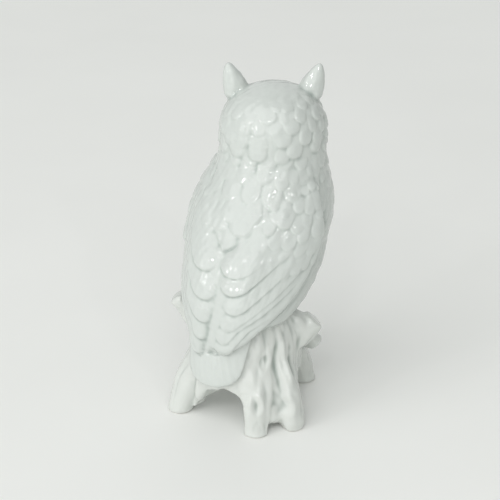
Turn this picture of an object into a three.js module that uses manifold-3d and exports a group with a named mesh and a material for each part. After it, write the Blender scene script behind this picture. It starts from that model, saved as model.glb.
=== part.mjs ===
// Glazed porcelain owl perched on a tree stump: a slip-cast figurine, made as separate castings that are
// luted together with slip and glazed. Millimetres, +Z up. The breast faces -Y, so the owl's left is +X.
// The origin is on the ground, under the middle of the figurine's outline.
import * as THREE from 'three';
import { LoftGeometry } from 'three/addons/geometries/LoftGeometry.js';
import { mergeVertices } from 'three/addons/utils/BufferGeometryUtils.js';
import Module from 'manifold-3d';

const wasm = await Module();
wasm.setup();
const { Manifold, Mesh: SolidMesh } = wasm;

// ---------- driving dimensions ----------
const WALL = 3.5; // thickness of the cast shell
const GAP = 0.35; // clearance left at a luting seam
const SEAT_Z = 60; // top of the stump, where the owl's body is luted on
const NECK_Z = 139; // seam between body and head
const HEAD_CENTRE = new THREE.Vector3(0, -30, 152);
const HEAD_TURN = THREE.MathUtils.degToRad(28); // the owl looks to its left
const FOOT_X = 9; // distance of each foot from the middle
const AROUND = 40; // faces around a large casting

// ---------- helpers ----------

// Smooth curve of several values against height: rows of [z, value, value, ...].
function profile(rows) {
  const heights = rows.map((row) => row[0]);
  const values = rows.flatMap((row) => row.slice(1));
  const curve = new THREE.CubicInterpolant(heights, values, rows[0].length - 1);
  return (z) => Array.from(curve.evaluate(z));
}

// A closed geometry as a manifold-3d solid.
function solidOf(geometry) {
  const bare = new THREE.BufferGeometry()
    .setAttribute('position', geometry.getAttribute('position'))
    .setIndex(geometry.getIndex());
  const merged = mergeVertices(bare, 1e-4);
  return new Manifold(new SolidMesh({
    numProp: 3,
    vertProperties: merged.attributes.position.array,
    triVerts: new Uint32Array(merged.index.array),
  }));
}

const middleOf = (points) => points
  .reduce((sum, point) => sum.add(point), new THREE.Vector3())
  .divideScalar(points.length);

// True when a ring of points turns anticlockwise about a direction.
function turnsAbout(points, direction) {
  const centre = middleOf(points);
  const spokes = points.map((point) => point.clone().sub(centre));
  const area = spokes.reduce(
    (sum, spoke, i) => sum.add(spoke.clone().cross(spokes[(i + 1) % spokes.length])),
    new THREE.Vector3(),
  );
  return area.dot(direction) > 0;
}

// A solid skinned through rings of points and closed at both ends, whichever way the rings turn.
function loft(sections) {
  const onward = middleOf(sections[1]).sub(middleOf(sections[0]));
  const facingOut = turnsAbout(sections[0], onward);
  const rings = facingOut ? sections : sections.map((points) => [...points].reverse());
  return solidOf(new LoftGeometry(rings, { capStart: true, capEnd: true }));
}

// One ring of points: place(angle) for angles around the full turn.
const ring = (count, place) => Array.from({ length: count }, (_, i) => place((i / count) * 2 * Math.PI));

// Evenly spaced numbers from a to b, both included.
const steps = (a, b, count) => Array.from({ length: count + 1 }, (_, i) => a + ((b - a) * i) / count);

const sphere = (radius, sides) => new THREE.SphereGeometry(radius, sides, Math.round(sides * 0.6));

// A tapered limb along a curve. radii rows: place along the curve, the two half widths of the oval section.
// grow makes a slightly larger copy, for cutting a seat in a neighbour.
function limb({ points, radii, sides = 12, rows = 5 }, grow = 0) {
  const path = new THREE.CatmullRomCurve3(points.map((p) => new THREE.Vector3(...p)));
  const girth = profile(radii);
  const frames = path.computeFrenetFrames(rows, false);
  const sections = steps(0, 1, rows).map((t, i) => {
    const centre = path.getPoint(t);
    const [a, b] = girth(t);
    return ring(sides, (angle) => centre.clone()
      .addScaledVector(frames.normals[i], (a + grow) * Math.cos(angle))
      .addScaledVector(frames.binormals[i], (b + grow) * Math.sin(angle)));
  });
  return loft(sections);
}

// Wraps a solid as a named mesh.
function meshOf(name, solid, material) {
  const { vertProperties, triVerts } = solid.getMesh();
  const geometry = new THREE.BufferGeometry();
  geometry.setAttribute('position', new THREE.BufferAttribute(new Float32Array(vertProperties), 3));
  geometry.setIndex(new THREE.BufferAttribute(new Uint32Array(triVerts), 1));
  geometry.computeVertexNormals();
  const mesh = new THREE.Mesh(geometry, material);
  mesh.name = name;
  return mesh;
}

const porcelain = new THREE.MeshStandardMaterial({ color: 0xe9ecea, roughness: 0.12, metalness: 0 });

// ---------- the owl's body ----------

// Height, centre y, half width, half depth of the trunk.
const trunk = profile([
  [56, 5, 24, 24],
  [60, 3, 27.5, 27],
  [66, -1, 30.5, 31.5],
  [74, -7, 33, 36.5],
  [85, -13, 34.5, 40],
  [97, -17, 36, 40.5],
  [111, -22.5, 37, 40],
  [122, -26, 34.5, 37],
  [131, -28.5, 31, 33],
  [139, -29.5, 29, 30.5],
  [146, -30, 28.5, 30],
]);

// A point of the trunk's surface pushed out by lift. Angle 0 is the middle of the back, growing to the left.
function trunkPoint(angle, z, lift = 0) {
  const [y, halfWidth, halfDepth] = trunk(z);
  return new THREE.Vector3(
    (halfWidth + lift) * Math.sin(angle),
    y + (halfDepth + lift) * Math.cos(angle),
    z,
  );
}

const trunkSolid = (heights, lift, around) => loft(
  heights.map((z) => ring(around, (angle) => trunkPoint(angle, z, lift))),
);

const TRUNK_ROWS = steps(SEAT_Z + GAP, NECK_Z, 12);
const body = trunkSolid(TRUNK_ROWS, 0, AROUND)
  .subtract(trunkSolid(steps(SEAT_Z - 1, NECK_Z + 1, 8), -WALL, 24));
const bodySeat = trunkSolid([SEAT_Z - 3, ...TRUNK_ROWS, NECK_Z + 2], GAP, AROUND);

// ---------- wings ----------

// Height, centre y, half width, half depth of the surface that the folded wings lie on.
const cloak = profile([
  [36, 3.5, 20, 28],
  [46, 1.5, 24, 30],
  [60, -1.5, 28, 32],
  [70, -7, 32, 37],
  [85, -13, 34.5, 40],
  [97, -17, 36, 40.5],
  [111, -22.5, 37, 40],
  [122, -26, 34.5, 37],
  [131, -28.5, 31, 33],
  [138, -29.5, 29, 30.5],
]);

// Folded wings. Each row: height, inner edge and outer edge (degrees from the middle of the back), thickness.
const WINGS = {
  left: [
    [38, 26, 38, 1.5],
    [42, 19, 52, 3],
    [46, 16, 60, 3.8],
    [56, 9, 67, 4.4],
    [66, 4, 74, 4.6],
    [76, 0.6, 83, 4.8],
    [90, 0.6, 90, 4.8],
    [102, 3, 90, 5],
    [110, 13, 88, 5.2],
    [120, 26, 86, 4.8],
    [129, 44, 84, 3.6],
    [136, 62, 79, 2],
  ],
  right: [
    [45, -13, 2, 1.5],
    [47.5, -13, 12, 3],
    [52, -10, 25, 4],
    [57, -7.5, 36, 4.4],
    [66, -4, 48.5, 4.6],
    [76, -0.5, 63.5, 4.8],
    [90, 0.6, 76, 4.8],
    [102, 3, 80.5, 4.6],
    [110, 13, 80.5, 4.4],
    [120, 26, 79.5, 3.6],
    [129, 44, 79, 2.4],
    [136, 62, 77, 1],
  ],
};

// Pushes a round section towards a rounded rectangle.
const blunt = (v) => Math.sign(v) * Math.abs(v) ** 0.55;

// How far the inner edge thins out at a height: the shoulder runs out flush with the back.
const innerThinning = (z) => 0.75 * THREE.MathUtils.smoothstep(z, 94, 110);

function wingSolid(side, rows, grow = 0) {
  const wingPlan = profile(rows);
  const sections = steps(rows[0][0] - grow, rows.at(-1)[0] + grow, 16).map((z) => {
    const [y, halfWidth, halfDepth] = cloak(z);
    const [inner, outer, thickness] = wingPlan(z);
    return ring(22, (turn) => {
      const reach = (outer - inner) / 2 + grow * 1.6;
      const across = blunt(Math.cos(turn));
      const angle = THREE.MathUtils.degToRad((inner + outer) / 2 + reach * across);
      const fullness = 1 - innerThinning(z) * (0.5 - across / 2);
      const lift = fullness * (thickness / 2 + (thickness / 2 + grow) * blunt(Math.sin(turn)));
      return new THREE.Vector3(
        side * (halfWidth + lift) * Math.sin(angle),
        y + (halfDepth + lift) * Math.cos(angle),
        z,
      );
    });
  });
  return loft(sections);
}

// ---------- tail ----------

// Height, centre x, centre y, half width, half thickness of the tail fan.
const tailPlan = profile([
  [27, 2.5, 35, 6, 1],
  [29, 2.2, 34.5, 11.5, 1.6],
  [33, 1.8, 33.4, 15.5, 2.2],
  [46, 1, 30, 17.5, 2.4],
  [60, 0, 26, 18.5, 2.4],
  [76, 0, 21, 18, 2.2],
]);

function tailSolid() {
  const sections = [27, 28, 29.5, 31.5, 35, 40, 47, 56, 66, 76].map((z) => {
    const [x, y, halfWidth, halfThickness] = tailPlan(z);
    return ring(18, (turn) => {
      const across = halfWidth * Math.cos(turn);
      return new THREE.Vector3(x + across, y - 0.012 * across ** 2 + halfThickness * Math.sin(turn), z);
    });
  });
  return loft(sections);
}

// ---------- stump ----------

// Angle (degrees from +X), reach of the foot, radius at the foot, radius at the trunk.
const ROOTS = [
  [43, 39, 6.5, 11],
  [130, 35, 7, 12],
  [164, 38.5, 6.5, 12],
  [246, 44, 6.5, 11],
  [334, 38, 6.5, 11],
];

// Angle, half width, height, lean of each arch between two roots.
const ARCHES = [
  [87, 18, 23, 6],
  [147, 4.5, 9, 0],
  [205, 17, 20, 0],
  [290, 16, 22, 2],
  [8, 12, 20, 0],
];

// Height, centre y, radius of the stump's core.
const core = profile([
  [4, 0, 31.5],
  [16, 0, 31],
  [30, 0, 30.5],
  [45, -1, 30.5],
  [55, -2, 29],
  [60, -2, 26],
]);

const onGround = (degrees, reach, z = 0) => {
  const angle = THREE.MathUtils.degToRad(degrees);
  return [reach * Math.cos(angle), reach * Math.sin(angle), z];
};

function rootSolid([degrees, reach, foot, shoulder], grow = 0) {
  return limb({
    points: [
      onGround(degrees, 15, 50),
      onGround(degrees, 20, 36),
      onGround(degrees, reach * 0.8, 18),
      onGround(degrees, reach, -6),
    ],
    radii: [[0, shoulder * 0.8, shoulder * 0.8], [0.4, shoulder, shoulder * 0.9], [1, foot, foot]],
    sides: 14,
    rows: 6,
  }, grow);
}

function coreSolid(bottom, top, grow, around) {
  return loft(steps(bottom, top, 5).map((z) => ring(around, (angle) => {
    const [y, radius] = core(z);
    return new THREE.Vector3((radius + grow) * Math.cos(angle), y + (radius + grow) * Math.sin(angle), z);
  })));
}

// The stump before it is hollowed: core and roots.
const stumpOutline = (grow) => ROOTS.reduce(
  (made, root) => made.add(rootSolid(root, grow)),
  coreSolid(4, SEAT_Z + grow, grow, 32),
);

// The space under an arch: a rounded tunnel towards the middle, its crown leaning to one side.
function archSolid([degrees, halfWidth, height, lean]) {
  const sections = [4, 20, 36, 54].map((reach, i) => ring(16, (turn) => {
    const tall = height * [0.85, 1, 1.05, 1.15][i] * Math.sin(turn);
    const across = halfWidth * [0.5, 0.85, 1.15, 1.5][i] * Math.cos(turn) + lean * Math.max(0, Math.sin(turn));
    return new THREE.Vector3(reach, across, tall);
  }));
  return loft(sections).rotate([0, 0, degrees]);
}

function stumpSolid() {
  let made = stumpOutline(0);
  const ground = new THREE.BoxGeometry(200, 200, 40).translate(0, 0, -20);
  const vault = sphere(1, 24).scale(25, 25, 21);
  made = made.subtract(solidOf(ground)).subtract(solidOf(vault));
  for (const arch of ARCHES) made = made.subtract(archSolid(arch));
  const hollow = coreSolid(30, SEAT_Z - WALL, -6, 20);
  const passage = new THREE.CylinderGeometry(7, 7, 20, 16).rotateX(Math.PI / 2).translate(0, 0, SEAT_Z);
  const vent = new THREE.CylinderGeometry(3, 3, 20, 12).rotateX(Math.PI / 2).translate(0, 0, 26);
  return made.subtract(hollow).subtract(solidOf(passage)).subtract(solidOf(vent));
}

const stump = stumpSolid();
const stumpSeat = stumpOutline(GAP);

// Stubs of cut branches on the stump.
const STUBS = {
  branch_stub_left: {
    points: [[18, 8, 43], [26, 13, 54], [33, 15.5, 64.5]],
    radii: [[0, 6, 6], [0.6, 5, 5.4], [1, 4.6, 5.2]],
  },
  branch_stub_right: {
    points: [[-20, -6, 36], [-29, -12, 46], [-35, -16, 54]],
    radii: [[0, 8, 8], [0.7, 7, 7.4], [1, 5.6, 6.4]],
  },
  branch_stub_front: {
    points: [[-14, -22, 46], [-22, -27, 38], [-27, -32, 30]],
    radii: [[0, 4, 4], [0.5, 4.8, 4.8], [1, 5.8, 5.8]],
  },
};

// ---------- head, in its own frame: centre at the origin, beak towards -Y ----------

const SKULL = { halfWidth: 29, halfDepth: 28, crown: 27.5 };
const NECK_DROP = NECK_Z + GAP - HEAD_CENTRE.z;

function skullSolid(shrink, bottom, around, rows) {
  const sections = steps(0, 1, rows).map((t) => {
    const z = bottom + (SKULL.crown - shrink - bottom) * Math.sin((t * Math.PI) / 2 * 0.97);
    const up = Math.max(0, z) / (SKULL.crown - shrink);
    const girth = (1 - up ** 2.5) ** 0.5;
    return ring(around, (angle) => new THREE.Vector3(
      (SKULL.halfWidth - shrink) * girth * Math.sin(angle),
      (SKULL.halfDepth - shrink) * girth * Math.cos(angle),
      z,
    ));
  });
  return loft(sections);
}

const skull = skullSolid(0, NECK_DROP, 36, 12).subtract(skullSolid(WALL, NECK_DROP - 1, 20, 8));
const skullSeat = skullSolid(-GAP, NECK_DROP, 36, 12);

const earSolid = (side) => limb({
  points: [[side * 14, -3, 11], [side * 19.5, -3.5, 22], [side * 24.5, -3, 36.5]],
  radii: [[0, 9, 11], [0.45, 6.6, 8], [0.8, 4, 4.6], [1, 0.9, 1.1]],
  rows: 8,
}).subtract(skullSeat);

const eyeSolid = (side) => solidOf(sphere(5.5, 14).translate(side * 11, -22.5, 5)).subtract(skullSeat);

const beak = limb({
  points: [[0, -22, 3], [0, -29, 1.5], [0, -31, -4], [0, -28.5, -8.5]],
  radii: [[0, 4, 4], [0.4, 3.4, 3.4], [1, 0.6, 0.6]],
  sides: 10,
  rows: 6,
}).subtract(skullSeat);

// ---------- feet ----------

// A foot: the feathered ankle and three toes whose claws bend down over the rim of the stump.
function footSolid(side) {
  const ankle = sphere(6.5, 16).translate(side * FOOT_X, -26.5, 63.5);
  return [-1, 0, 1].reduce((made, spread) => {
    const x = (reach) => side * FOOT_X + spread * reach;
    return made.add(limb({
      points: [[x(0), -26, 64], [x(3.5), -31, 63.5], [x(5.2), -34, 58.5], [x(5.6), -33, 50]],
      radii: [[0, 3.4, 3.4], [0.4, 3.3, 3.3], [0.75, 2.6, 2.6], [1, 0.7, 0.7]],
      sides: 8,
      rows: 6,
    }));
  }, solidOf(ankle));
}

// ---------- seams: each later piece is cut back where it meets an earlier one ----------

const cut = (solid, seats) => seats.reduce((made, seat) => made.subtract(seat), solid);
const wingSeats = [wingSolid(1, WINGS.left, GAP), wingSolid(-1, WINGS.right, GAP)];
const wings = {
  wing_left: cut(wingSolid(1, WINGS.left), [bodySeat, stumpSeat]),
  wing_right: cut(wingSolid(-1, WINGS.right), [bodySeat, stumpSeat]),
};
const tail = cut(tailSolid(), [bodySeat, stumpSeat, ...wingSeats]);
const feet = {
  foot_left: cut(footSolid(1), [bodySeat, stumpSeat, ...wingSeats]),
  foot_right: cut(footSolid(-1), [bodySeat, stumpSeat, ...wingSeats]),
};
const stubs = Object.fromEntries(Object.entries(STUBS).map(
  ([name, plan]) => [name, cut(limb(plan), [bodySeat, stumpSeat, ...wingSeats])],
));

// ---------- assembly ----------

const head = new THREE.Group();
head.position.copy(HEAD_CENTRE);
head.rotation.z = HEAD_TURN;
head.add(
  meshOf('head', skull, porcelain),
  meshOf('ear_tuft_left', earSolid(1), porcelain),
  meshOf('ear_tuft_right', earSolid(-1), porcelain),
  meshOf('eye_left', eyeSolid(1), porcelain),
  meshOf('eye_right', eyeSolid(-1), porcelain),
  meshOf('beak', beak, porcelain),
);

const pieces = { body, stump, tail, ...wings, ...feet, ...stubs };
const owl = new THREE.Group();
owl.add(head, ...Object.entries(pieces).map(([name, solid]) => meshOf(name, solid, porcelain)));

// The origin sits on the ground under the middle of the outline.
const outline = new THREE.Box3().setFromObject(owl, true);
const centre = outline.getCenter(new THREE.Vector3());
owl.position.set(-centre.x, -centre.y, -outline.min.z);

const figurine = new THREE.Group();
figurine.add(owl);
export default figurine;
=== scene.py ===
import math
from dataclasses import dataclass

import bmesh
import bpy
import numpy as np
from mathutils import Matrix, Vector
from mathutils.bvhtree import BVHTree


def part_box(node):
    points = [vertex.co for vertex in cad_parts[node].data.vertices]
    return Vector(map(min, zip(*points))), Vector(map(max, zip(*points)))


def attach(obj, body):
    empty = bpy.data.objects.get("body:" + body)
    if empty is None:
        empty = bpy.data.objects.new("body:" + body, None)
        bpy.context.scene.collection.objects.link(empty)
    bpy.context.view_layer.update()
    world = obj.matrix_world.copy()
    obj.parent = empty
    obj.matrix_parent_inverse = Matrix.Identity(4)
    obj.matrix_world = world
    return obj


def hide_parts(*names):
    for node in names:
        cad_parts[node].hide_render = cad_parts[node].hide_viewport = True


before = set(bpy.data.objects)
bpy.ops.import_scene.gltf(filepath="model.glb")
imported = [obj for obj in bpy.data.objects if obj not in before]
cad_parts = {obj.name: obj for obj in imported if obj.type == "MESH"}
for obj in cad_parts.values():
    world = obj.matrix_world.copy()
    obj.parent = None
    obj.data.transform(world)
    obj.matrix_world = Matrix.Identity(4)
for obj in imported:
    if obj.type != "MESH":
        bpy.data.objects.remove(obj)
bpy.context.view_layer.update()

MM = 0.001
SEED = 20
UNROLL = 38.0  # radius on which angles round the owl are laid out as millimetres


# ---------- camera ----------

VIEW = (210, 25)  # azimuth and elevation in degrees
VIEW_DISTANCE = 0.75  # metres
AIM_HEIGHT = 0.1  # metres; the camera and the lamps are aimed at this height
LENS = 101.1
LENS_SHIFT = (0.010, -0.0214)


def object_of(name, data):
    made = bpy.data.objects.new(name, data)
    bpy.context.scene.collection.objects.link(made)
    return made


def aimed(name, data, target, azimuth, elevation, distance):
    """Places a camera or lamp round its target, at angles in degrees, and turns it to the target."""
    a, e = math.radians(azimuth), math.radians(elevation)
    back = Vector((math.sin(a) * math.cos(e), -math.cos(a) * math.cos(e), math.sin(e)))
    made = object_of(name, data)
    made.location = target + back * distance
    made.rotation_mode = "QUATERNION"
    made.rotation_quaternion = (-back).to_track_quat("-Z", "Y")
    return made


def make_camera():
    data = bpy.data.cameras.new("camera")
    data.lens = LENS
    data.sensor_width = 36
    data.shift_x, data.shift_y = LENS_SHIFT
    data.clip_start = 0.01
    target = Vector((STUMP_AXIS[0] * MM, STUMP_AXIS[1] * MM, AIM_HEIGHT))
    bpy.context.scene.camera = aimed("camera", data, target, *VIEW, VIEW_DISTANCE)


# ---------- places read from the frame ----------


def box_of(node):
    low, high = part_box(node)
    return np.array(low) / MM, np.array(high) / MM


def middle_of(node):
    low, high = box_of(node)
    return (low + high) / 2


def points_of(mesh):
    flat = np.empty(len(mesh.vertices) * 3, np.float32)
    mesh.vertices.foreach_get("co", flat)
    return flat.reshape(-1, 3).astype(float) / MM


def spine_rows(node, count=10):
    """Height and middle depth of slices of a casting, from its foot to its top."""
    points = points_of(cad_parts[node].data)
    low, high = points[:, 2].min() + 2, points[:, 2].max() - 2
    rows = []
    for z in np.linspace(low, high, count):
        slice_y = points[np.abs(points[:, 2] - z) < 4][:, 1]
        rows.append((z, (slice_y.min() + slice_y.max()) / 2))
    return np.array(rows)


STUMP_REACH = 45.5  # from the front end of the stump's box to the stump's axis
HEAD_RISE = 13  # from the neck seam to the head's centre
BODY_MIDDLE = middle_of("body")
SPINE = spine_rows("body")
SEAT_Z = box_of("stump")[1][2]
NECK_Z = box_of("body")[1][2]
STUMP_AXIS = (BODY_MIDDLE[0], box_of("stump")[0][1] + STUMP_REACH)
EYES = [middle_of("eye_left"), middle_of("eye_right")]
HEAD_CENTRE = np.array([BODY_MIDDLE[0], SPINE[-1][1], NECK_Z + HEAD_RISE])


def level(vector):
    flat = np.array([vector[0], vector[1], 0.0])
    return flat / np.linalg.norm(flat)


FACE = level((EYES[0] + EYES[1]) / 2 - HEAD_CENTRE)
FACE_LEFT = np.array([-FACE[1], FACE[0], 0.0])


# ---------- mesh helpers ----------


def move_to(mesh, points):
    mesh.vertices.foreach_set("co", (points * MM).astype(np.float32).ravel())
    mesh.update()


def normals_of(mesh):
    flat = np.empty(len(mesh.vertices) * 3, np.float32)
    mesh.vertex_normals.foreach_get("vector", flat)
    return flat.reshape(-1, 3).astype(float)


def edges_of(mesh):
    flat = np.empty(len(mesh.edges) * 2, np.int32)
    mesh.edges.foreach_get("vertices", flat)
    return flat.reshape(-1, 2)


def blurred(values, edges, rounds, share=0.5):
    """Each point's value moved a share of the way to its neighbours' mean, several times over."""
    made = values.reshape(len(values), -1).copy()
    count = np.maximum(np.bincount(edges.ravel(), minlength=len(made)), 1)
    for _ in range(rounds):
        for column in range(made.shape[1]):
            value = made[:, column]
            total = np.bincount(edges[:, 0], value[edges[:, 1]], len(made))
            total += np.bincount(edges[:, 1], value[edges[:, 0]], len(made))
            made[:, column] = value + share * (total / count - value)
    return made.reshape(values.shape)


def smoothstep(low, high, value):
    t = np.clip((value - low) / (high - low), 0, 1)
    return t * t * (3 - 2 * t)


def bump_at(distance, width):
    """A rounded ridge: 1 on the line, fading over its width."""
    return np.exp(-((distance / width) ** 2))


def ripples(points, wavelength, rng, count=10):
    """Smooth random unevenness of about that wavelength, mostly between -2 and 2."""
    waves = rng.normal(size=(count, points.shape[1]))
    waves *= (2 * math.pi / wavelength) * rng.uniform(0.6, 1.3, (count, 1)) / np.linalg.norm(
        waves, axis=1, keepdims=True
    )
    phases = rng.uniform(0, 2 * math.pi, count)
    made = np.zeros(len(points))
    for wave, phase in zip(waves, phases):
        made += np.sin(points @ wave + phase)
    return made / math.sqrt(count / 2)


# ---------- castings: closed copies of the CAD nodes, fused like clay ----------


def casting(node):
    """A copy of a CAD node's faces, in metres, with its split corners merged."""
    bm = bmesh.new()
    bm.from_mesh(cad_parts[node].data)
    bmesh.ops.remove_doubles(bm, verts=bm.verts, dist=1e-6)
    return bm


def filled(bm):
    """Drops the inner wall of a cast shell and closes the opening, so that one outer skin is left."""
    corners = np.array([v.co for v in bm.verts])
    middle = Vector((corners.min(0) + corners.max(0)) / 2)
    bm.normal_update()
    inner = [f for f in bm.faces if f.normal.dot(f.calc_center_median() - middle) < 0]
    bmesh.ops.delete(bm, geom=inner, context="FACES")
    rim = [e for e in bm.edges if e.is_boundary]
    bmesh.ops.holes_fill(bm, edges=rim, sides=0)
    return bm


def tree_of(bm):
    return BVHTree.FromBMesh(bm)


def sunk(bm, host, reach, depth):
    """Pushes the corners that lie close to a neighbour's surface into it, which closes the luted seam."""
    for vert in bm.verts:
        place, normal, _, distance = host.find_nearest(vert.co)
        if distance < reach * MM:
            vert.co = place - normal * depth * MM
    return bm


def lump(place, radii):
    """A ball of clay pressed into a gap between castings."""
    bm = bmesh.new()
    bmesh.ops.create_icosphere(bm, subdivisions=3, radius=1.0)
    for vert in bm.verts:
        vert.co = Vector((np.array(place) + np.array(vert.co) * radii) * MM)
    return bm


def keep_largest(mesh):
    """Deletes every island but the largest, such as a bubble left where two castings meet."""
    bm = bmesh.new()
    bm.from_mesh(mesh)
    unseen = set(bm.verts)
    islands = []
    while unseen:
        island = [unseen.pop()]
        for vert in island:
            for edge in vert.link_edges:
                other = edge.other_vert(vert)
                if other in unseen:
                    unseen.remove(other)
                    island.append(other)
        islands.append(island)
    islands.sort(key=len)
    for island in islands[:-1]:
        bmesh.ops.delete(bm, geom=island, context="VERTS")
    bm.to_mesh(mesh)
    bm.free()


def fused(name, castings, voxel, rounds):
    """One closed mesh round several overlapping castings, remeshed to even quads and softened."""
    rough = bpy.data.meshes.new(name + "_rough")
    joined = bmesh.new()
    for bm in castings:
        part = bpy.data.meshes.new("part")
        bm.to_mesh(part)
        joined.from_mesh(part)
        bpy.data.meshes.remove(part)
    joined.to_mesh(rough)
    joined.free()
    holder = object_of(name, rough)
    remesh = holder.modifiers.new("remesh", "REMESH")
    remesh.mode = "VOXEL"
    remesh.voxel_size = voxel * MM
    evaluated = holder.evaluated_get(bpy.context.evaluated_depsgraph_get())
    mesh = bpy.data.meshes.new_from_object(evaluated)
    holder.modifiers.clear()
    holder.data = mesh
    bpy.data.meshes.remove(rough)
    keep_largest(mesh)
    move_to(mesh, blurred(points_of(mesh), edges_of(mesh), rounds))
    mesh.polygons.foreach_set("use_smooth", np.ones(len(mesh.polygons), bool))
    return holder


def bmesh_of(piece):
    bm = bmesh.new()
    bm.from_mesh(piece.data)
    return bm


# ---------- feathers ----------

BARB_PITCH = 2.0  # spacing of the fine ribs on a feather
SKIN = 0.7  # thickness of plumage that the castings already include
CREVICE_ROUNDS = 24  # how far around a point its surroundings are averaged
CREVICE_START = 0.04  # how far below its surroundings a point lies before painted shade starts there
CREVICE_DEPTH = 0.34  # how much further below them the painted shade, a darker grey-green glaze colour, is full


@dataclass
class Feather:
    """One feather in the surface's own coordinates: two for an unrolled surface, three for a domed one."""
    tip: np.ndarray
    down: np.ndarray  # unit vector from the quill to the tip
    across: np.ndarray  # unit vector towards the low edge
    length: float
    width: float
    height: float
    tilt: float = 0.0
    bend: float = 0.0
    pillow: float = 0.5  # how much its middle swells over its sides
    edge: float = 1.2  # how wide its rounded rim is under the glaze
    point: float = 0.85  # how far its rounded tip reaches, as a share of half its width
    barb: float = 0.0  # depth of the fine ribs that run out from its shaft


def feather_height(back, side, feather):
    """Height over the skin, given how far back from the tip and how far to the low side a point lies."""
    half = feather.width / 2
    side = side - feather.bend * np.clip(back, 0, None) ** 2
    round_tip = min(feather.length * 0.55, half * feather.point)
    outline = np.hypot(np.clip(1 - back / round_tip, 0, None), side / half)
    share = np.clip(back / feather.length, 0, 1)
    across = np.clip(side / half, -1, 1)
    crown = 1 - feather.pillow * np.clip(outline, 0, 1) ** 2 + feather.tilt * across
    made = feather.height * (1 - share) ** 0.75 * crown
    if feather.barb:
        ribs = np.sin(2 * math.pi * (np.abs(side) * 0.8 + back * 0.5) / BARB_PITCH)
        made += feather.barb * ribs * smoothstep(0.4, 1.2, np.abs(side)) * (1 - share)
        made += 1.5 * feather.barb * bump_at(side, 0.6) * smoothstep(1, 5, back)
    return made * smoothstep(0, 1, (1 - outline) * half / feather.edge)


def plumage(places, feathers):
    """The upper surface of overlapping feathers: at each place, the highest one counts."""
    made = np.zeros(len(places))
    for feather in feathers:
        reach = math.hypot(feather.length, feather.width) + 2
        near = np.nonzero((np.abs(places - feather.tip) < reach).all(1))[0]
        offset = places[near] - feather.tip
        back = -(offset @ feather.down)
        side = offset @ feather.across
        keep = (back > -1) & (back < feather.length) & (np.abs(side) < feather.width + 8)
        near = near[keep]
        made[near] = np.maximum(made[near], feather_height(back[keep], side[keep], feather))
    return made


def unrolled(points, facing=1):
    """Places round the owl as (arc, height). Arc 0 is the mid-back, or the mid-breast at facing -1."""
    spine = np.interp(points[:, 2], SPINE[:, 0], SPINE[:, 1])
    x = (points[:, 0] - BODY_MIDDLE[0]) * facing
    y = (points[:, 1] - spine) * facing
    return np.column_stack([np.arctan2(x, y) * UNROLL, points[:, 2]])


def slant(degrees):
    """Flat unit vectors of a feather whose quill rises at that angle: towards its tip, and its low edge."""
    angle = math.radians(degrees)
    down = -np.array([math.cos(angle), math.sin(angle)])
    across = np.array([math.sin(angle), -math.cos(angle)])
    return down, across


def scale_rows(rows, rng, height):
    """Rows of staggered round feathers on an unrolled surface. Row: height z, first and last arc, width."""
    made = []
    for number, (z, first, last, width) in enumerate(rows):
        arc = first + (number % 2) * width * 0.42
        while arc < last:
            size = width * rng.uniform(0.85, 1.18)
            tip = np.array([arc + rng.uniform(-1.2, 1.2), z + rng.uniform(-1.6, 1.6)])
            down, across = slant(90 + rng.uniform(-12, 12))
            made.append(Feather(
                tip, down, across, size * 1.3, size, height * rng.uniform(0.88, 1.12), edge=0.2 * size,
            ))
            arc += width * 0.84
    return made


def carve(piece, depth, painted_shade=0.0):
    """Pushes a piece's surface out along its normals, and stores how much painted shade each point gets:
    more the deeper it lies in a hollow, plus any painted shade passed in.
    """
    mesh = piece.data
    edges = edges_of(mesh)
    points = blurred(points_of(mesh) + normals_of(mesh) * depth[:, None], edges, 1)
    move_to(mesh, points)
    # Painted shade: the deeper a point lies below its surroundings, the darker and greener its glaze colour
    # is painted.
    sheltered = ((blurred(points, edges, CREVICE_ROUNDS) - points) * normals_of(mesh)).sum(1)
    crevice_shade = mesh.attributes.new("crevice_shade", "FLOAT", "POINT")
    sheltered = np.clip((sheltered - CREVICE_START) / CREVICE_DEPTH + painted_shade, 0, 1)
    sheltered = blurred(sheltered, edges, 4)
    crevice_shade.data.foreach_set("value", sheltered.astype(np.float32))


# ---------- the owl's body and head ----------

# Rows of head feathers: elevation seen from the head's centre (degrees), width, height of relief.
HEAD_ROWS = [
    (-28, 12, 1.4),
    (-16, 13, 1.6),
    (-3, 13, 1.5),
    (10, 12.5, 1.3),
    (23, 11.5, 1.15),
    (36, 10.5, 0.95),
    (48, 9.5, 0.7),
    (60, 8.5, 0.45),
    (72, 7.5, 0.3),
]
HEAD_RADIUS = 28.5
FINE_SIDE = np.array([-0.87, -0.5, 0])  # the side of the head whose feathers are finer and bolder
# Rows of mantle feathers: height z, first and last arc, width.
MANTLE_ROWS = [
    (99, 0, 4, 15),
    (106.5, -12, 16, 16),
    (114.5, -26, 30, 17.5),
    (123, -42, 44, 17),
    (131, -70, 70, 16.5),
    (138.5, -76, 76, 16),
    (145, -76, 76, 15),
]
MANTLE_HEIGHT = 1.6
BREAST_ARC = 80
BREAST_WIDTH = 9.5
BREAST_PITCH = 7.0
BREAST_HEIGHT = 0.9
FACE_REACH = 29  # how far the face lies in front of the head's centre
DISC_RADIUS = 13.5  # of the raised rim of the facial disc round each eye
DISC_RAYS = 34
LID_RADIUS = 6.8
BROW_RISE = 7.5  # height of the brow over the head's centre, between the eyes
BROW_SLOPE = 0.62


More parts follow.
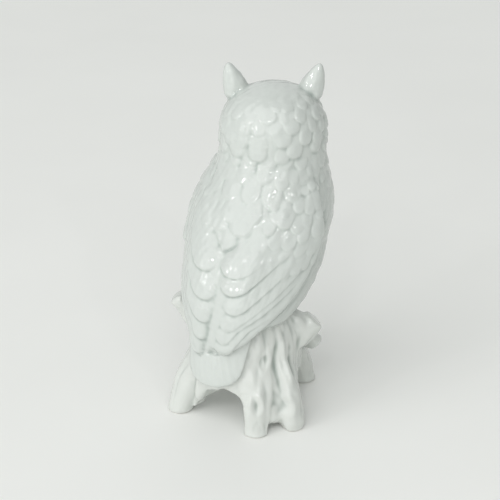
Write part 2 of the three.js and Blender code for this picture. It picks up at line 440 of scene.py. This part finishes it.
def head_feathers(tree, rng):
    """Feathers over the whole skull, each pointing down and away from the face."""
    made = []
    drift = -0.55 * FACE - np.array([0, 0, 1.0])
    for number, (elevation, width, height) in enumerate(HEAD_ROWS):
        lift = math.radians(elevation)
        count = max(3, round(2 * math.pi * HEAD_RADIUS * math.cos(lift) / (width * 0.82)))
        for index in range(count):
            turn = 2 * math.pi * (index + 0.5 * (number % 2) + rng.uniform(-0.2, 0.2)) / count
            tilted = lift + rng.uniform(-0.07, 0.07)
            ray = Vector((
                math.sin(turn) * math.cos(tilted),
                math.cos(turn) * math.cos(tilted),
                math.sin(tilted),
            ))
            place, normal, _, _ = tree.ray_cast(Vector(HEAD_CENTRE * MM), ray)
            normal = np.array(normal)
            down = drift - normal * (drift @ normal)
            down /= np.linalg.norm(down)
            down = down + np.cross(normal, down) * rng.uniform(-0.25, 0.25)
            down /= np.linalg.norm(down)
            finer = max(0.0, float(np.array(ray) @ FINE_SIDE))
            size = width * rng.uniform(0.8, 1.2) * (1 - 0.3 * finer)
            made.append(Feather(
                np.array(place) / MM, down, np.cross(normal, down),
                size * 1.25, size, height * rng.uniform(0.88, 1.12) * (1 + 0.4 * finer), edge=0.21 * size,
            ))
    return made


def breast_feathers(rng):
    """Even rows of small pointed feathers down the breast and belly."""
    rows = [
        (z, -BREAST_ARC, BREAST_ARC, BREAST_WIDTH)
        for z in np.arange(62, NECK_Z + 6, BREAST_PITCH)
    ]
    return scale_rows(rows, rng, BREAST_HEIGHT)


def face_relief(points):
    """Facial discs round the eyes, the brow ridges over them, and how much of the face each point is."""
    local = points - HEAD_CENTRE
    side = local @ FACE_LEFT
    ahead = local @ FACE
    rise = local[:, 2]
    relief = np.zeros(len(points))
    for eye in EYES:
        centre = eye - HEAD_CENTRE
        across = side - centre @ FACE_LEFT
        up = rise - centre[2]
        reach = np.hypot(across, up)
        turn = np.arctan2(up, across)
        disc = 1.5 * bump_at(reach - DISC_RADIUS, 2.0) - 0.9 * bump_at(reach, 10)
        rays = 0.16 * np.sin(turn * DISC_RAYS) * smoothstep(6, 8, reach) * (1 - smoothstep(12, 14, reach))
        lid = 0.9 * bump_at(reach - LID_RADIUS, 0.9)
        relief = np.maximum(relief, disc + lid) + rays
    brow_line = np.abs(side) * BROW_SLOPE - (rise - BROW_RISE)
    brow = 1.9 * bump_at(brow_line, 2.4) * (1 - smoothstep(17, 24, np.abs(side)))
    relief = np.maximum(relief, brow * smoothstep(1, 4, np.abs(side) + 3))
    share = smoothstep(0.42, 0.62, ahead / FACE_REACH) * smoothstep(-16, -11, rise)
    share *= 1 - smoothstep(20, 25, rise)
    return relief, share


# ---------- wings ----------

# Long flight feathers: arc of the tip from the middle of the back, its height z, slope, width, length.
RIGHT_FLIGHT = [
    (1.5, 93, 42, 19, 30),
    (3.5, 83, 48, 16, 42),
    (6.5, 72.5, 51, 14, 50),
    (6, 62.5, 52, 13.5, 54),
    (3.5, 54.5, 52, 12.5, 56),
    (2, 47, 50, 12, 56),
]
LEFT_FLIGHT = [
    (4, 92, 56, 16, 40),
    (2.5, 77, 60, 16, 46),
    (4, 64, 63, 15, 50),
    (7, 53, 66, 13, 52),
    (11, 43, 70, 12, 52),
]
# Rows of coverts: height z, first arc, last arc, width, length, slope at the first and at the last.
RIGHT_COVERTS = [
    (90, 30, 58, 8, 17, 62, 80),
    (97, 17, 58, 9.5, 16, 55, 82),
    (104.5, 13, 60, 10, 14, 55, 84),
    (112, 14, 60, 9.5, 12.5, 58, 84),
    (119.5, 20, 62, 9, 12, 60, 86),
    (127, 30, 66, 8.5, 11, 66, 88),
    (134, 40, 68, 8, 10, 70, 90),
]
LEFT_COVERTS = [
    (95, 22, 56, 9, 18, 60, 82),
    (104, 8, 58, 12, 16, 66, 84),
    (112.5, 12, 60, 12, 15, 68, 86),
    (120.5, 18, 62, 11.5, 13, 72, 88),
    (128, 26, 66, 10.5, 12, 76, 90),
    (135, 36, 68, 9.5, 11, 80, 90),
]
PRIMARY_COUNT = 7
FLIGHT_BEND = 0.0022  # how a flight feather curves along its length
SHOULDER_Z = 110  # above this height the wing's feathers melt into the mantle's
UNDERCUT = 0.6  # depth of the furrow along the outer edge of a wing
RIM_HEIGHT = 0.7  # how far the outer edge of a wing stands out over the body
BODY_SWELL = 1.7  # how far the body swells again beyond that furrow
# Heights between which the relief along the wings' outer edges fades in and out, and the swelling ends.
EDGE_FOOT = (44, 54)
EDGE_TOP = (110, 122)
SWELL_TOP = (86, 98)
MANTLE_TIP = (1.5, 98)  # arc and height of the place where both wings meet the mantle
WING_NAMES = {1: "wing_left", -1: "wing_right"}  # by side: 1 is the owl's +X side
# Side, flight feathers, coverts, arc and height of the tips of the lowest and the highest primary.
WINGS = [
    (1, LEFT_FLIGHT, LEFT_COVERTS, (13, 46), (40, 74)),
    (-1, RIGHT_FLIGHT, RIGHT_COVERTS, (8, 48), (37, 71)),
]


def primaries(first, last):
    """The stacked outer flight feathers along a wing's leading edge, bent along it."""
    made = []
    (first_arc, first_z), (last_arc, last_z) = first, last
    for step in np.linspace(0, 1, PRIMARY_COUNT):
        arc = first_arc + (last_arc - first_arc) * step
        z = first_z + (last_z - first_z) * step ** 1.3
        down, across = slant(48 + 22 * step)
        made.append(Feather(
            np.array([arc, z]), down, across,
            length=46, width=8, height=1.4, tilt=0.6, bend=0.004, edge=0.9,
        ))
    return made


def flight_feathers(rows):
    """The long inner flight feathers of a wing."""
    made = []
    for arc, z, slope, width, length in reversed(rows):
        down, across = slant(slope)
        made.append(Feather(
            np.array([arc, z]), down, across, length, width,
            height=1.9, tilt=0.9, bend=FLIGHT_BEND, edge=1.1, point=1.15, barb=0.05,
        ))
    return made


def covert_feathers(rows, rng):
    """Staggered rows of small feathers on the upper wing, steeper and flatter towards its leading edge."""
    made = []
    for number, (z, start, stop, width, length, slope_in, slope_out) in enumerate(rows):
        arc = start + (number % 2) * width * 0.4
        while arc < stop:
            share = (arc - start) / (stop - start)
            down, across = slant(slope_in + (slope_out - slope_in) * share + rng.uniform(-10, 10))
            size = rng.uniform(0.82, 1.2)
            tip = np.array([arc + rng.uniform(-1, 1), z + rng.uniform(-2, 2) + 2.0 * share ** 2])
            height = (1.55 + 0.05 * number) * rng.uniform(0.85, 1.12) * (1 - 0.35 * share ** 3)
            made.append(Feather(
                tip, down, across, length * size, width * size, height, tilt=0.15, edge=1.7,
            ))
            arc += width * 0.78
    return made


def wing_feathers(flight, coverts, first, last, rng):
    return primaries(first, last) + flight_feathers(flight) + covert_feathers(coverts, rng)


# ---------- the owl's whole skin ----------

NECK_LAP = 4  # how far the head's rim reaches down into the body
PIT_DEPTH = 3.2  # how far the clay behind the tip of the mantle lies under the body's skin
PIT_RADII = (4.5, 5.5, 8)
SEAT_RADII = (26.5, 26.5, 3.2)  # the ring of slip that joins the belly to the stump
TIP_SHIFT = np.array([-1.5, 1.5, 3.3])  # from the left wing's lowest point to the clay that rounds its tip
TIP_RADII = (5.5, 2.5, 6.5)


def trunk_casting():
    """Body and head, filled and joined at the neck."""
    body = filled(casting("body"))
    head = filled(casting("head"))
    for vert in head.verts:
        if vert.co.z < (NECK_Z + 1) * MM:
            vert.co.z -= NECK_LAP * MM
    holder = fused("core", [body, head], 0.8, 40)
    core = bmesh_of(holder)
    bpy.data.objects.remove(holder)
    return core


def mantle_pit(tree):
    """The clay that fills the hollow where both wings meet the mantle."""
    arc, z = MANTLE_TIP
    start = Vector((BODY_MIDDLE[0] * MM, 0, z * MM))
    back = tree.ray_cast(start, Vector((math.sin(arc / UNROLL), 1, 0)))[0]
    return lump(np.array(back) / MM - np.array([0, PIT_DEPTH, 0]), PIT_RADII)


def left_tip():
    """The clay that rounds the left wing's tip where it meets the tail."""
    points = points_of(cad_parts["wing_left"].data)
    lowest = points[points[:, 2] < points[:, 2].min() + 3].mean(0)
    return lump(lowest + TIP_SHIFT, TIP_RADII)


def clay_castings():
    """The owl's castings, pressed into each other where they meet, and the surfaces of trunk and wings."""
    core = trunk_casting()
    tree = tree_of(core)
    ears = [sunk(casting(name), tree, 1.5, 3.0) for name in ("ear_tuft_left", "ear_tuft_right")]
    wing_trees = {side: tree_of(casting(name)) for side, name in WING_NAMES.items()}
    right = casting("wing_right")
    left = sunk(casting("wing_left"), wing_trees[-1], 1.4, 2.0)
    tail_tree = tree_of(casting("tail"))
    wings = [sunk(sunk(wing, tail_tree, 1.3, 1.6), tree, 1.2, 1.6) for wing in (left, right)]
    seat = lump((STUMP_AXIS[0], STUMP_AXIS[1] + 2, SEAT_Z + 0.5), SEAT_RADII)
    return [core, *ears, *wings, left_tip(), mantle_pit(tree), seat], tree, wing_trees


def distances(points, tree):
    return np.array([tree.find_nearest(Vector(point))[3] for point in points * MM]) / MM


def spine_offsets(points):
    return points[:, 1] - np.interp(points[:, 2], SPINE[:, 0], SPINE[:, 1])


def outwardness(points, normals):
    """How far each point's surface faces away from the owl's middle."""
    outward = np.column_stack([points[:, 0] - BODY_MIDDLE[0], spine_offsets(points)])
    outward /= np.linalg.norm(outward, axis=1, keepdims=True)
    return (normals[:, :2] * outward).sum(1)


def trunk_relief(points, rng):
    backward = plumage(unrolled(points), scale_rows(MANTLE_ROWS, rng, MANTLE_HEIGHT))
    forward = plumage(unrolled(points, -1), breast_feathers(rng))
    front = smoothstep(-4, 4, -spine_offsets(points))
    low = 1 - smoothstep(NECK_Z + 2, NECK_Z + 10, points[:, 2])
    return (backward * (1 - front) + forward * front) * low


def wing_relief(points, side, *feathering):
    places = unrolled(points)
    places[:, 0] *= side
    return plumage(places, wing_feathers(*feathering, np.random.default_rng(SEED + side)))


def running_mean(values, count=5):
    padded = np.pad(np.array(values), count // 2, mode="edge")
    return np.convolve(padded, np.ones(count) / count, mode="valid")


def leading_edge(node, reach=4, count=30):
    """Heights along a wing, and how far round the owl its outer edge lies at each."""
    places = unrolled(points_of(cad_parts[node].data))
    heights = np.linspace(places[:, 1].min() + reach, places[:, 1].max() - reach, count)
    outermost = [np.abs(places[np.abs(places[:, 1] - z) < reach, 0]).max() for z in heights]
    return heights, running_mean(outermost)


def past_edge(points):
    """How far beyond the outer edge of the wing on its side of the owl each point lies, round the trunk."""
    places = unrolled(points)
    made = np.zeros(len(points))
    for side, node in WING_NAMES.items():
        own = places[:, 0] * side > 0
        heights, outermost = leading_edge(node)
        made[own] = np.abs(places[own, 0]) - np.interp(places[own, 1], heights, outermost)
    return made


def edge_relief(points):
    """Height of the rim of each wing, of the furrow beside it and of the body's swelling beyond that.

    Also how much painted shade darkens the furrow and the body beside each wing's outer edge, and the belly
    along its seam with the stump.
    """
    beyond = past_edge(points)
    reach = smoothstep(*EDGE_FOOT, points[:, 2]) * (1 - smoothstep(*EDGE_TOP, points[:, 2]))
    rim = RIM_HEIGHT * smoothstep(-13, -2, beyond) * (1 - smoothstep(-0.9, 0.7, beyond))
    furrow = bump_at(beyond - 1.4, 1.3)
    swell = BODY_SWELL * smoothstep(1.5, 5.0, beyond) * (1 - smoothstep(22, 34, beyond))
    swell *= 1 - smoothstep(*SWELL_TOP, points[:, 2])
    # Painted shade in the furrow and on the body beside each wing's outer edge, where the wing's shadow
    # falls.
    painted_shade = furrow + bump_at(beyond - 4.5, 5)
    # Painted shade along the belly's seam with the stump, where the gap lies in shadow.
    seam = 0.7 * bump_at(points[:, 2] - SEAT_Z - 1, 2.5) * smoothstep(0, 2, beyond)
    return (rim - UNDERCUT * furrow + swell) * reach, painted_shade * reach + seam


def ear_share(points):
    """How much of an ear each point is, and how far the rounded ends of the ears swell out."""
    beyond = np.linalg.norm(points - HEAD_CENTRE, axis=1)
    share = smoothstep(29.5, 32.5, beyond) * smoothstep(4, 10, points[:, 2] - HEAD_CENTRE[2])
    return share, 0.45 * smoothstep(33, 42, beyond)


def soften_seams(mesh):
    """Melts the place where both wings meet the mantle, and rounds the ears a little."""
    points = points_of(mesh)
    places = unrolled(points)
    pit = bump_at(np.hypot(places[:, 0] - MANTLE_TIP[0], (places[:, 1] - MANTLE_TIP[1]) * 0.7), 9)
    smooth = blurred(points, edges_of(mesh), 60)
    shoulders = smoothstep(98, 107, points[:, 2]) * (1 - smoothstep(NECK_Z - 3, NECK_Z + 3, points[:, 2]))
    shoulders *= 1 - smoothstep(32, 44, np.abs(places[:, 0]))
    share = np.maximum(np.maximum(smoothstep(0.1, 0.6, pit), shoulders), 0.15 * ear_share(points)[0])
    move_to(mesh, points + (smooth - points) * share[:, None])


def feather_depth(points, normals, edges, tree, wing_trees, rng):
    """Height of the plumage on head, trunk and both wings."""
    depth = np.maximum(plumage(points, head_feathers(tree, rng)), trunk_relief(points, rng))
    depth = np.maximum(depth, 0.25 * SKIN)
    trunk_distance = distances(points, tree)
    wing_distance = {side: distances(points, wing) for side, wing in wing_trees.items()}
    shoulder = smoothstep(SHOULDER_Z - 6, SHOULDER_Z + 6, points[:, 2])
    facing = smoothstep(0.1, 0.5, outwardness(points, normals))
    for side, *feathering in WINGS:
        feathers = wing_relief(points, side, *feathering)
        nearest = np.minimum(trunk_distance, wing_distance[-side])
        share = blurred((wing_distance[side] < nearest).astype(float), edges, 3)
        merged = np.maximum(np.maximum(depth, feathers), 0.5 * SKIN)
        wing_depth = SKIN + (feathers - SKIN) * facing
        depth = depth * (1 - share) + wing_depth * share
        depth = depth * (1 - shoulder) + merged * shoulder
    return depth


def make_owl():
    """Body, head, ears and wings as one skin, each part with its own feathers."""
    rng = np.random.default_rng(SEED)
    castings, tree, wing_trees = clay_castings()
    owl = fused("owl_feathered", castings, 0.5, 9)
    soften_seams(owl.data)
    points = points_of(owl.data)
    normals = normals_of(owl.data)
    depth = feather_depth(points, normals, edges_of(owl.data), tree, wing_trees, rng)
    # edge_relief also gives the painted shade beside the wings and at the belly's seam, which carve adds to
    # the shade in the hollows.
    edge, painted_shade = edge_relief(points)
    depth += edge
    face, share = face_relief(points)
    depth = depth * (1 - share) + (face + 0.4) * share
    ear, swelling = ear_share(points)
    depth = depth * (1 - ear) + (SKIN + swelling) * ear
    depth += 0.08 * ripples(points, 4.5, rng)
    under = smoothstep(-0.97, -0.8, normals[:, 2])
    carve(owl, (depth - SKIN) * under, painted_shade)
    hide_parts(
        "body", "head", "ear_tuft_left", "ear_tuft_right", "wing_left", "wing_right",
    )
    return owl, tree


# ---------- tail ----------

TAIL_FEATHERS = 7
TAIL_SPREAD = 14.5  # from the tail's middle to the tips of its outermost feathers


def make_tail():
    tail = fused("tail_feathered", [casting("tail")], 0.4, 10)
    low, high = box_of("tail")
    middle = (low[0] + high[0]) / 2
    points = points_of(tail.data)
    places = np.column_stack([points[:, 0] - middle, points[:, 2]])
    feathers = []
    order = sorted(np.linspace(-1, 1, TAIL_FEATHERS), key=abs, reverse=True)
    for spread in order:
        tip = np.array([spread * TAIL_SPREAD, low[2] - 3.5 + 8 * abs(spread) ** 2.4])
        down, across = slant(90 - 10 * spread)
        lift = 1.0 - 0.3 * abs(spread)
        feathers.append(Feather(tip, down, across, length=46, width=9.5, height=lift, tilt=0.15))
    facing = smoothstep(0.1, 0.6, normals_of(tail.data)[:, 1])
    leaning = np.column_stack([places[:, 0] - 0.3 * places[:, 1], places[:, 1] * 0.12])
    streaks = 0.07 * ripples(leaning, 3.6, np.random.default_rng(SEED + 5))
    depth = plumage(places, feathers) + streaks - SKIN
    carve(tail, depth * facing)
    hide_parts("tail")
    return tail


# ---------- eyes, beak and feet ----------

PUPIL_RADIUS = 1.5
IRIS_RADIUS = 2.4
CREASE_PITCH = 2.6  # spacing of the creases across a toe


def make_eye(name):
    eye = fused(name + "_glazed", [casting(name)], 0.25, 6)
    points = points_of(eye.data)
    local = points - middle_of(name)
    reach = np.linalg.norm(local - np.outer(local @ FACE, FACE), axis=1)
    carve(eye, -0.45 * bump_at(reach, PUPIL_RADIUS) + 0.12 * bump_at(reach - IRIS_RADIUS, 0.4))
    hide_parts(name)
    return eye


def make_beak(owl_tree):
    beak = fused("beak_glazed", [sunk(casting("beak"), owl_tree, 1.0, 1.5)], 0.25, 6)
    local = points_of(beak.data) - middle_of("beak")
    side = local @ FACE_LEFT
    ridge = 0.35 * bump_at(side, 0.8)
    cere = 0.3 * bump_at(local[:, 2] - 2.5, 0.9)
    mouth = -0.4 * bump_at(local[:, 2] + 2.0 + 0.25 * np.abs(side), 0.35)
    mouth *= smoothstep(0.8, 1.6, np.abs(side))
    carve(beak, ridge + cere + mouth)
    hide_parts("beak")
    return beak


def make_foot(name, owl_tree, seed):
    """Feathered ankle, and toes with creases across them above the claws."""
    rng = np.random.default_rng(seed)
    foot = fused(name + "_clawed", [sunk(casting(name), owl_tree, 1.0, 1.5)], 0.35, 4)
    points = points_of(foot.data)
    along = np.mod(points[:, 1] + points[:, 2] * 0.9, CREASE_PITCH)
    creases = -0.28 * bump_at(along - CREASE_PITCH / 2, 0.4)
    tufts = 0.35 * ripples(points * np.array([1, 1, 0.35]), 3.2, rng)
    ankle = smoothstep(SEAT_Z + 3, SEAT_Z + 5.5, points[:, 2])
    claw = smoothstep(SEAT_Z - 5, SEAT_Z - 7, points[:, 2])
    carve(foot, tufts * ankle + creases * (1 - ankle) * (1 - claw))
    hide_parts(name)
    return foot


# ---------- stump ----------

# Knots and pits: angle round the stump (degrees from +X), height z, half width, half height, depth.
PITS = [
    (130, 18.5, 2.3, 4.5, 1.1),
    (155.5, 15.5, 2.2, 4.5, 0.9),
    (171, 35, 2.5, 5.0, 1.0),
    (144, 42, 2.0, 3.0, 0.6),
    (164, 26, 1.8, 3.0, 0.5),
    (300, 34, 2.4, 4.4, 1.1),
    (250, 22, 2.2, 4.0, 1.0),
    (345, 28, 2.2, 4.2, 1.0),
]
# Long furrows (and, with a negative depth, ridges) in the bark: angle at the foot and at the top, bottom z,
# top z, half width, depth, waver.
FURROWS = [
    (149, 155, 10, 50, 1.9, 1.9, 1.0),
    (141, 144, 10, 38, 2.0, -0.7, 1.0),
    (131, 135, 24, 44, 2.2, 1.1, 1.0),
    (122, 127, 8, 34, 1.8, -0.6, 1.0),
    (159, 163, 12, 54, 1.8, -0.8, 1.5),
    (168, 173, 8, 46, 2.4, 0.7, 1.5),
    (62, 66, 4, 28, 2.2, -1.1, 0.5),
    (74, 76, 4, 22, 3.0, 0.6, 0.5),
    (205, 208, 18, 56, 1.8, 0.9, 2.0),
    (218, 221, 12, 50, 2.0, -0.7, 1.5),
    (236, 230, 14, 56, 2.0, 0.8, 2.5),
    (268, 262, 18, 56, 1.8, 0.9, 2.0),
    (288, 284, 10, 50, 2.2, -0.8, 2.0),
    (312, 306, 16, 56, 2.0, 0.9, 2.0),
    (352, 356, 16, 56, 1.8, 0.8, 2.5),
    (12, 8, 8, 50, 2.2, -0.8, 2.0),
    (28, 24, 18, 54, 2.0, 0.8, 2.0),
]
STUMP_RADIUS = 31.0
GRAIN_STRETCH = 4.5  # how much longer than wide the unevenness of the wood is
# Clay in the notch between the two back toes: angle, radius, height, size.
NOTCH = [(149, 31.5, 10, 6.5), (136, 31.5, 5.5, 4.2), (162, 31.5, 5.5, 4.2)]


def angle_gap(angle, other):
    return (angle - other + math.pi) % (2 * math.pi) - math.pi


def bark(points, rng):
    """Relief of weathered wood: broad swellings, grain, long furrows and knot holes."""
    x = points[:, 0] - STUMP_AXIS[0]
    y = points[:, 1] - STUMP_AXIS[1]
    z = points[:, 2]
    angle = np.arctan2(y, x)
    around = np.column_stack([
        np.cos(angle) * STUMP_RADIUS, np.sin(angle) * STUMP_RADIUS, z / GRAIN_STRETCH,
    ])
    swell = 0.4 * ripples(around, 15, rng)
    grain = 0.2 * ripples(around, 4.5, rng)
    ridged = 0.2 * (1 - 2 * bump_at(ripples(around, 12, rng), 0.3))
    dents = -0.5 * smoothstep(1.1, 2.0, ripples(around * np.array([1, 1, 2.2]), 9, rng))
    made = swell + grain + ridged + dents
    for foot, top, low, high, width, depth, waver in FURROWS:
        share = np.clip((z - low) / (high - low), 0, 1)
        line = np.radians(foot + (top - foot) * share + waver * np.sin(z / 5.5 + foot))
        gap = angle_gap(angle, line) * STUMP_RADIUS
        ends = smoothstep(low - 4, low + 4, z) * (1 - smoothstep(high - 4, high + 4, z))
        made -= depth * bump_at(gap, width) * ends
    for degrees, height, half_width, half_height, depth in PITS:
        gap = angle_gap(angle, math.radians(degrees)) * STUMP_RADIUS
        reach = np.hypot(gap / half_width, (z - height) / half_height)
        made += 0.3 * depth * bump_at(reach - 1.3, 0.4) - depth * bump_at(reach, 0.75)
    return made


def stump_lumps(stub_names):
    """Clay round the root of each branch stub, and in the notch between the two back toes of the stump."""
    made = []
    for name in stub_names:
        middle = middle_of(name)
        inward = np.append(STUMP_AXIS - middle[:2], 0.0)
        made.append(lump(middle + inward * 0.22 + np.array([0, 0, 2.5]), (8.5, 8.5, 10.5)))
    for degrees, radius, z, size in NOTCH:
        angle = math.radians(degrees)
        place = [
            STUMP_AXIS[0] + radius * math.cos(angle),
            STUMP_AXIS[1] + radius * math.sin(angle),
            z,
        ]
        made.append(lump(place, (size, size, 1.15 * size)))
    return made


def bark_share(points, normals):
    """How much of the bark's relief each point takes: little inside the vault and on level faces."""
    upright = smoothstep(0.15, 0.6, np.hypot(normals[:, 0], normals[:, 1]))
    radial = points[:, :2] - np.array(STUMP_AXIS)
    outward = (radial * normals[:, :2]).sum(1) / (np.linalg.norm(radial, axis=1) + 1e-6)
    inner = 1 - smoothstep(-0.3, 0.1, outward)
    return upright * (1 - 0.75 * inner) * smoothstep(0, 5, points[:, 2])


def make_stump():
    rng = np.random.default_rng(SEED + 7)
    body = casting("stump")
    tree = tree_of(body)
    names = ("branch_stub_left", "branch_stub_right", "branch_stub_front")
    stubs = [sunk(casting(name), tree, 1.2, 2.0) for name in names]
    stump = fused("stump_glazed", [body, *stubs, *stump_lumps(names)], 0.6, 16)
    points = points_of(stump.data)
    carve(stump, bark(points, rng) * bark_share(points, normals_of(stump.data)))
    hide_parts("stump", *names)
    return stump


# ---------- materials ----------


def start_material(name):
    material = bpy.data.materials.new(name)
    material.use_nodes = True
    tree = material.node_tree
    tree.nodes.clear()
    output = tree.nodes.new("ShaderNodeOutputMaterial")
    shader = tree.nodes.new("ShaderNodeBsdfPrincipled")
    tree.links.new(shader.outputs["BSDF"], output.inputs["Surface"])
    return material, tree, shader


def ramp(tree, source, stops):
    made = tree.nodes.new("ShaderNodeValToRGB")
    elements = made.color_ramp.elements
    while len(elements) < len(stops):
        elements.new(0.5)
    for element, (place, colour) in zip(elements, stops):
        element.position = place
        element.color = (*colour, 1)
    tree.links.new(source, made.inputs["Fac"])
    return made.outputs["Color"]


def noise(tree, place, scale, detail=3.0):
    made = tree.nodes.new("ShaderNodeTexNoise")
    made.inputs["Scale"].default_value = scale
    made.inputs["Detail"].default_value = detail
    tree.links.new(place, made.inputs["Vector"])
    return made.outputs["Fac"]


# Colours of the glaze on edges, on open surfaces and in the hollows, where the darkest is painted shade
# with a grey-green tint of thick glaze: on the owl, and on the stump, the same porcelain painted lighter as
# painted light for the light that falls on it.
OWL_GLAZE = [(0.59, 0.62, 0.595), (0.565, 0.60, 0.572), (0.31, 0.355, 0.33)]
STUMP_GLAZE_PAINTED_LIGHT = [(0.65, 0.67, 0.64), (0.62, 0.645, 0.615), (0.32, 0.36, 0.33)]


def glaze_material(name, edge, thin, deep_shade):
    """White porcelain under a clear glaze that runs off edges; in the hollows its colour is painted darker
    as painted shade, with the grey-green tint of thicker glaze.
    """
    material, tree, shader = start_material(name)
    place = tree.nodes.new("ShaderNodeTexCoord").outputs["Object"]
    crevice_shade = tree.nodes.new("ShaderNodeAttribute")
    crevice_shade.attribute_name = "crevice_shade"
    patch = noise(tree, place, 45, 4)
    # Painted shade: the stored crevice shade, with random patches of tone added, picks the glaze colour
    # from edge to darkened hollow.
    painted_shade = tree.nodes.new("ShaderNodeMath")
    painted_shade.operation = "MULTIPLY_ADD"
    tree.links.new(patch, painted_shade.inputs[0])
    painted_shade.inputs[1].default_value = 0.10
    tree.links.new(crevice_shade.outputs["Fac"], painted_shade.inputs[2])
    colour = ramp(tree, painted_shade.outputs["Value"], [
        (0.0, edge), (0.2, thin), (1.0, deep_shade),
    ])
    tree.links.new(colour, shader.inputs["Base Color"])
    gloss = tree.nodes.new("ShaderNodeMapRange")
    gloss.inputs["To Min"].default_value = 0.03
    gloss.inputs["To Max"].default_value = 0.09
    tree.links.new(noise(tree, place, 120, 2), gloss.inputs["Value"])
    tree.links.new(gloss.outputs["Result"], shader.inputs["Roughness"])
    shader.inputs["IOR"].default_value = 1.52
    ripple = tree.nodes.new("ShaderNodeBump")
    ripple.inputs["Strength"].default_value = 0.22
    ripple.inputs["Distance"].default_value = 0.0006
    tree.links.new(noise(tree, place, 260, 2), ripple.inputs["Height"])
    tree.links.new(ripple.outputs["Normal"], shader.inputs["Normal"])
    return material


def bisque_material():
    """The unglazed foot of the stump: dry, slightly warm and grainy."""
    material, tree, shader = start_material("bisque")
    place = tree.nodes.new("ShaderNodeTexCoord").outputs["Object"]
    grain = noise(tree, place, 900, 5)
    tree.links.new(
        ramp(tree, grain, [(0.3, (0.66, 0.63, 0.57)), (0.7, (0.80, 0.77, 0.71))]),
        shader.inputs["Base Color"],
    )
    shader.inputs["Roughness"].default_value = 0.85
    bump = tree.nodes.new("ShaderNodeBump")
    bump.inputs["Strength"].default_value = 0.4
    bump.inputs["Distance"].default_value = 0.0003
    tree.links.new(grain, bump.inputs["Height"])
    tree.links.new(bump.outputs["Normal"], shader.inputs["Normal"])
    return material


def floor_material():
    material, tree, shader = start_material("pale_floor")
    place = tree.nodes.new("ShaderNodeTexCoord").outputs["Object"]
    patch = noise(tree, place, 6, 3)
    tree.links.new(
        ramp(tree, patch, [(0.3, (0.86, 0.865, 0.845)), (0.7, (0.88, 0.885, 0.865))]),
        shader.inputs["Base Color"],
    )
    shader.inputs["Roughness"].default_value = 0.7
    return material


# ---------- stage ----------


FLOOR_HALF = 30.0  # metres
# Lamps: name, azimuth and elevation in degrees, distance and size in metres, power in watts. The small ones
# leave the sharp glints on the glaze.
LAMPS = [
    ("key", 180, 40, 4.5, (7.0, 7.0), 192),
    ("front_fill", 20, 35, 3.0, (3.0, 3.0), 13),
    ("window_left", 158, 24, 1.5, (0.07, 0.10), 1.0),
    ("window_high", 200, 42, 1.5, (0.10, 0.06), 1.0),
    ("window_right", 236, 34, 1.5, (0.05, 0.09), 0.7),
    ("window_low", 150, 9, 1.5, (0.05, 0.10), 0.9),
    ("window_far", 186, 12, 1.5, (0.04, 0.08), 0.7),
]


def make_floor():
    mesh = bpy.data.meshes.new("floor")
    half = FLOOR_HALF
    corners = [(-half, -half, 0), (half, -half, 0), (half, half, 0), (-half, half, 0)]
    mesh.from_pydata(corners, [], [(0, 1, 2, 3)])
    floor = object_of("floor", mesh)
    mesh.materials.append(floor_material())


def area_light(name, azimuth, elevation, distance, size, power):
    data = bpy.data.lights.new(name, "AREA")
    data.shape = "RECTANGLE"
    data.size, data.size_y = size
    data.energy = power
    aimed(name, data, Vector((0, 0, AIM_HEIGHT)), azimuth, elevation, distance)


def make_light():
    world = bpy.data.worlds.new("soft_room")
    world.use_nodes = True
    background = world.node_tree.nodes["Background"]
    background.inputs["Color"].default_value = (0.97, 1.0, 0.975, 1)
    background.inputs["Strength"].default_value = 0.42
    bpy.context.scene.world = world
    for lamp in LAMPS:
        area_light(*lamp)
    bpy.context.scene.view_settings.view_transform = "Standard"


# ---------- the whole ----------


def finish_piece(piece, material):
    piece.data.materials.clear()
    piece.data.materials.append(material)
    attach(piece, "root")


def unglaze_foot(stump, material):
    """The faces that the stump stands on carry no glaze."""
    stump.data.materials.append(material)
    for face in stump.data.polygons:
        if face.normal.z < -0.8 and face.center.z < 0.8 * MM:
            face.material_index = 1


make_camera()
owl, owl_tree = make_owl()
stump = make_stump()
pieces = [
    owl,
    stump,
    make_tail(),
    make_beak(owl_tree),
    make_eye("eye_left"),
    make_eye("eye_right"),
    make_foot("foot_left", owl_tree, SEED + 3),
    make_foot("foot_right", owl_tree, SEED + 4),
]
owl_glaze = glaze_material("glazed_owl", *OWL_GLAZE)
# The stump's glaze is the owl's porcelain painted lighter, as painted light.
stump_glaze_painted_light = glaze_material("glazed_stump_painted_light", *STUMP_GLAZE_PAINTED_LIGHT)
for piece in pieces:
    finish_piece(piece, stump_glaze_painted_light if piece is stump else owl_glaze)
unglaze_foot(stump, bisque_material())
make_floor()
make_light()
